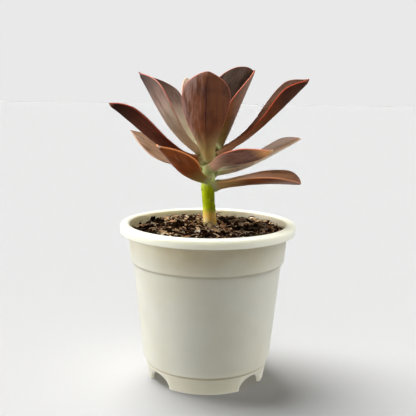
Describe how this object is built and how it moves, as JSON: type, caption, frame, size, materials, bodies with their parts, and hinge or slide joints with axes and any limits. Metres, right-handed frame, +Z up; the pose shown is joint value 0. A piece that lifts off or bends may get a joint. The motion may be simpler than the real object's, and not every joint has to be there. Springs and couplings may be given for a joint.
{
  "type": "potted graptoveria",
  "caption": "Potted graptoveria: a rosette of folded, pointed leaves on a short bare stem, standing in potting soil in a round lipped pot.",
  "frame": {"origin": "under the middle of the pot, on the surface that it stands on", "axes": "+Z up along the pot's axis, -Y towards the viewer of the picture, +X to the viewer's right"},
  "size_m": [0.1206, 0.11, 0.1953],
  "materials": {
    "pot_plastic": "satin cream plastic",
    "soil": "damp potting soil with bark chips",
    "stem": "smooth green bark, ochre near the soil",
    "leaf_brown": "waxy brown purple with a grey bloom and coral edges",
    "leaf_rust": "waxy orange brown with an orange edge",
    "leaf_tan": "waxy pale tan",
    "leaf_young": "waxy grey green flushed with brown"
  },
  "bodies": {
    "root": {"pot": "pot_plastic", "soil": "soil", "stem": "stem", "leaf_lowest_right": "leaf_brown", "leaf_low_front_left": "leaf_rust", "leaf_low_back": "leaf_tan", "leaf_low_right": "leaf_tan", "leaf_low_front_right": "leaf_brown", "leaf_low_left": "leaf_tan", "leaf_middle_left": "leaf_brown", "leaf_middle_back": "leaf_brown", "leaf_middle_right": "leaf_brown", "leaf_upper_back_right": "leaf_brown", "leaf_front": "leaf_brown", "leaf_upper_left": "leaf_brown", "leaf_upper_right": "leaf_brown", "leaf_upper_back": "leaf_brown", "heart": "leaf_young"}
  },
  "joints": []
}
